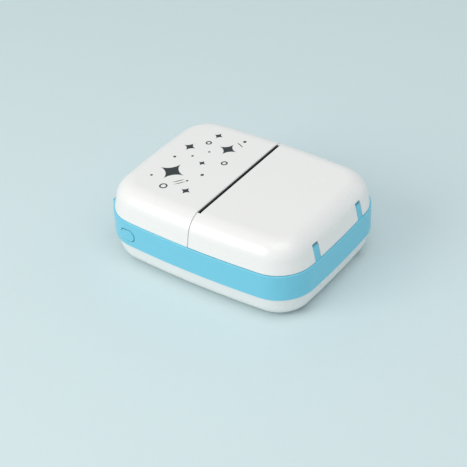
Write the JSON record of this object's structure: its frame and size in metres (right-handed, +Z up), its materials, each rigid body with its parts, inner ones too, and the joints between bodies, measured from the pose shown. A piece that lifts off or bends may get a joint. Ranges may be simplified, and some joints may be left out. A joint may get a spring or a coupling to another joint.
{
  "type": "pocket thermal printer",
  "caption": "Palm-sized thermal printer with a rounded body, a coloured middle band and a hinged cover over the paper bay; paper leaves by a slot across the top.",
  "frame": {"origin": "centre of the body's plan on the table, at the bottom of the feet", "axes": "+Z up; +Y from the hinge end to the fixed face panel's end; +X to the right of someone reading the face panel upright"},
  "size_m": [0.0792, 0.1032, 0.0382],
  "materials": {
    "white_shell": "moulded ABS, satin gloss",
    "blue_shell": "moulded ABS, satin gloss, light blue",
    "tray_plastic": "moulded ABS, fine matt",
    "black_plastic": "moulded nylon, matt",
    "steel_pin": "ground steel",
    "steel_screw": "zinc-plated steel",
    "spring_steel": "spring steel",
    "motor_can": "nickel-plated steel",
    "gear_plastic": "acetal, satin",
    "pinion_brass": "machined brass",
    "platen_rubber": "ground rubber",
    "foot_rubber": "moulded rubber",
    "heat_sink": "stamped aluminium",
    "head_ceramic": "glazed ceramic strip",
    "flat_cable": "polyester flat cable",
    "circuit_board": "solder resist over glass fibre",
    "chip_resin": "moulded epoxy",
    "socket_plastic": "nylon",
    "clear_plastic": "clear acrylic",
    "cell_foil": "laminated foil pouch",
    "foam_pad": "foam tape",
    "wire_cover": "PVC insulation"
  },
  "bodies": {
    "base": {"bottom_shell": "white_shell", "face_panel": "white_shell", "mid_frame": "blue_shell", "paper_tray": "tray_plastic", "mechanism_frame": "black_plastic", "paper_guide": "black_plastic", "paper_sensor": "black_plastic", "power_switch": "black_plastic", "idler_post": "steel_pin", "head_pin": "steel_pin", "motor_screws": "steel_screw", "mechanism_screws": "steel_screw", "tray_screws": "steel_screw", "board_screws": "steel_screw", "shell_screws": "steel_screw", "panel_screws": "steel_screw", "idler_clip": "spring_steel", "head_springs": "spring_steel", "stepper_motor": "motor_can", "usb_socket": "motor_can", "rubber_feet": "foot_rubber", "head_ribbon": "flat_cable", "motor_lead": "flat_cable", "main_board": "circuit_board", "board_chips": "chip_resin", "board_sockets": "socket_plastic", "battery_plug": "socket_plastic", "status_light": "clear_plastic", "battery": "cell_foil", "battery_pad": "foam_pad", "battery_lead": "wire_cover"},
    "cover": {"paper_cover": "white_shell", "hinge_pins": "steel_pin", "platen_holder": "black_plastic", "holder_screws": "steel_screw", "tear_blade": "spring_steel", "platen_bushes": "gear_plastic"},
    "platen": {"platen_shaft": "steel_pin", "platen_rubber": "platen_rubber", "platen_gear": "gear_plastic"},
    "idler": {"idler_gear": "gear_plastic"},
    "motor_rotor": {"motor_shaft": "steel_pin", "motor_pinion": "pinion_brass"},
    "head": {"head_plate": "heat_sink", "thermal_head": "head_ceramic"},
    "button": {"power_button": "blue_shell"}
  },
  "joints": [
    {"name": "cover_hinge", "type": "hinge", "parent": "base", "child": "cover", "pos_m": [0, -0.0475, 0.0295], "axis": [1, 0, 0], "range_deg": [0, 100]},
    {"name": "platen_spin", "type": "hinge", "parent": "cover", "child": "platen", "pos_m": [0, -0.0042, 0.0284], "axis": [1, 0, 0], "continuous": true},
    {"name": "idler_spin", "type": "hinge", "parent": "base", "child": "idler", "pos_m": [0, -0.0042, 0.0194], "axis": [1, 0, 0], "continuous": true},
    {"name": "motor_spin", "type": "hinge", "parent": "base", "child": "motor_rotor", "pos_m": [0, 0.00446, 0.0144], "axis": [1, 0, 0], "continuous": true},
    {"name": "head_swing", "type": "hinge", "parent": "base", "child": "head", "pos_m": [0, 0.005, 0.024], "axis": [-1, 0, 0], "range_deg": [0, 2.5], "stiffness_Nm_per_rad": 0.2, "springref_deg": -5.73, "deforming": ["head_springs"]},
    {"name": "power_press", "type": "slide", "parent": "base", "child": "button", "axis": [1, 0, 0], "range_m": [0, 0.0005], "stiffness_N_per_m": 200, "springref_m": -0.002}
  ],
  "couplings": [
    {"joint": "idler_spin", "follows": "platen_spin", "ratio": -1.25},
    {"joint": "motor_spin", "follows": "platen_spin", "ratio": 3.75}
  ]
}
